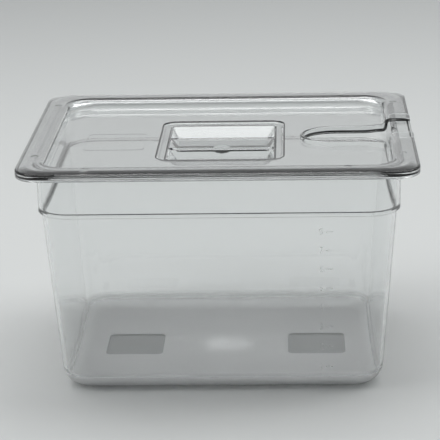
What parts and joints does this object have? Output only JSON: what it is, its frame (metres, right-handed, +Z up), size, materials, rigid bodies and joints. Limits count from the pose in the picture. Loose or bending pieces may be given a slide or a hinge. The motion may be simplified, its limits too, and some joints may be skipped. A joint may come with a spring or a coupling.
{
  "type": "sous vide container",
  "caption": "Clear plastic food pan with a tapered body, a wide rim flange and a lift-off lid that has a recessed handle and a notch for an immersion cooker.",
  "frame": {"origin": "centre of the underside of the pan's base", "axes": "+X along the rim's length towards the notch in the lid, +Y across the rim towards the back, +Z up"},
  "size_m": [0.325, 0.265, 0.2033],
  "materials": {
    "clear_pan": "polished",
    "clear_lid": "polished"
  },
  "bodies": {
    "pan": {"pan": "clear_pan"},
    "lid": {"lid": "clear_lid"}
  },
  "joints": [
    {"name": "lid_lift", "type": "slide", "parent": "pan", "child": "lid", "axis": [0, 0, 1], "range_m": [0, 0.12]}
  ]
}
